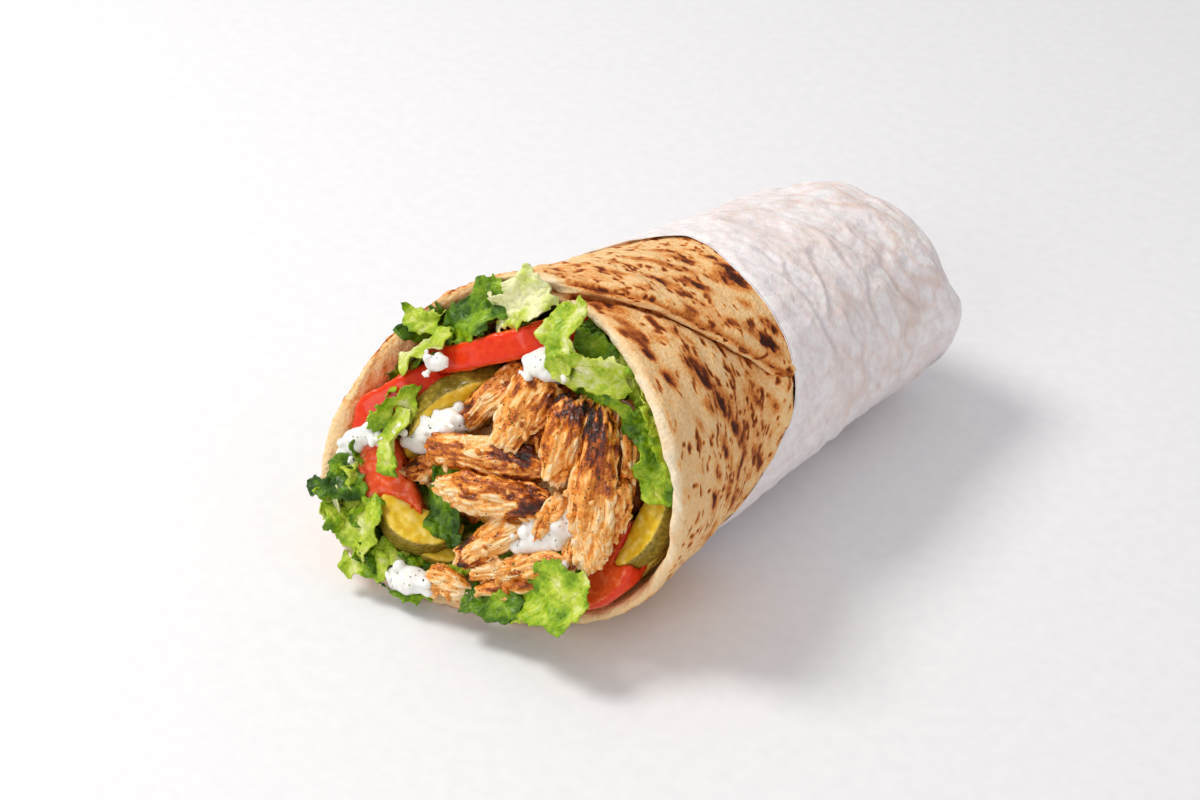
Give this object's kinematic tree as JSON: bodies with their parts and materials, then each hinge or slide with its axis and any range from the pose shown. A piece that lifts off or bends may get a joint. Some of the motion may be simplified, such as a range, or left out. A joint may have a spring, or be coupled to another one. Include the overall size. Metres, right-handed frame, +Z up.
{
  "type": "gyro wrap",
  "caption": "Rolled flatbread wrap of grilled chicken, lettuce, tomato, pickles and white sauce, open at the mouth, its rear half in a twisted paper sleeve.",
  "frame": {"origin": "on the flat underside that the roll lies on, on its middle line and 81.5 mm behind the mouth's middle section", "axes": "+Z up, +Y along the roll from the open mouth to the closed paper end, +X to the right as seen into the mouth"},
  "size_m": [0.0922, 0.166, 0.076],
  "materials": {
    "flatbread": "matt baked dough with brown griddle marks",
    "paper": "thin crinkled greaseproof paper",
    "grilled_chicken": "moist, seared brown crust over pale fibres",
    "chicken_filling": "moist",
    "lettuce": "crisp, slightly glossy",
    "lettuce_layer": "crisp, slightly glossy",
    "tomato": "glossy skin, wet flesh",
    "pickle": "wet and glossy",
    "sauce": "creamy, glossy"
  },
  "bodies": {
    "root": {"chicken_filling": "chicken_filling", "chicken_strip_01": "grilled_chicken", "chicken_strip_02": "grilled_chicken", "chicken_strip_03": "grilled_chicken", "chicken_strip_04": "grilled_chicken", "chicken_strip_05": "grilled_chicken", "chicken_strip_06": "grilled_chicken", "chicken_strip_07": "grilled_chicken", "chicken_strip_08": "grilled_chicken", "chicken_strip_09": "grilled_chicken", "chicken_strip_10": "grilled_chicken", "chicken_strip_11": "grilled_chicken", "chicken_strip_12": "grilled_chicken", "chicken_strip_13": "grilled_chicken", "chicken_strip_14": "grilled_chicken", "chicken_strip_15": "grilled_chicken", "chicken_strip_16": "grilled_chicken", "chicken_strip_17": "grilled_chicken", "flatbread": "flatbread", "lettuce_layer": "lettuce_layer", "lettuce_leaf_01": "lettuce", "lettuce_leaf_02": "lettuce", "lettuce_leaf_03": "lettuce", "lettuce_leaf_04": "lettuce", "lettuce_leaf_05": "lettuce", "lettuce_leaf_06": "lettuce", "lettuce_leaf_07": "lettuce", "lettuce_leaf_08": "lettuce", "lettuce_leaf_09": "lettuce", "lettuce_leaf_10": "lettuce", "lettuce_leaf_11": "lettuce", "lettuce_leaf_12": "lettuce", "lettuce_leaf_13": "lettuce", "lettuce_leaf_14": "lettuce", "lettuce_leaf_15": "lettuce", "lettuce_leaf_16": "lettuce", "lettuce_leaf_17": "lettuce", "lettuce_leaf_18": "lettuce", "lettuce_leaf_19": "lettuce", "lettuce_leaf_20": "lettuce", "lettuce_leaf_21": "lettuce", "lettuce_leaf_22": "lettuce", "paper_sleeve": "paper", "pickle_slice_1": "pickle", "pickle_slice_2": "pickle", "pickle_slice_3": "pickle", "pickle_slice_4": "pickle", "pickle_slice_5": "pickle", "sauce_dollop_1": "sauce", "sauce_dollop_2": "sauce", "sauce_dollop_3": "sauce", "sauce_dollop_4": "sauce", "sauce_dollop_5": "sauce", "sauce_dollop_6": "sauce", "tomato_slice_1": "tomato", "tomato_slice_2": "tomato", "tomato_slice_3": "tomato", "tomato_slice_4": "tomato", "tomato_slice_5": "tomato"}
  },
  "joints": []
}
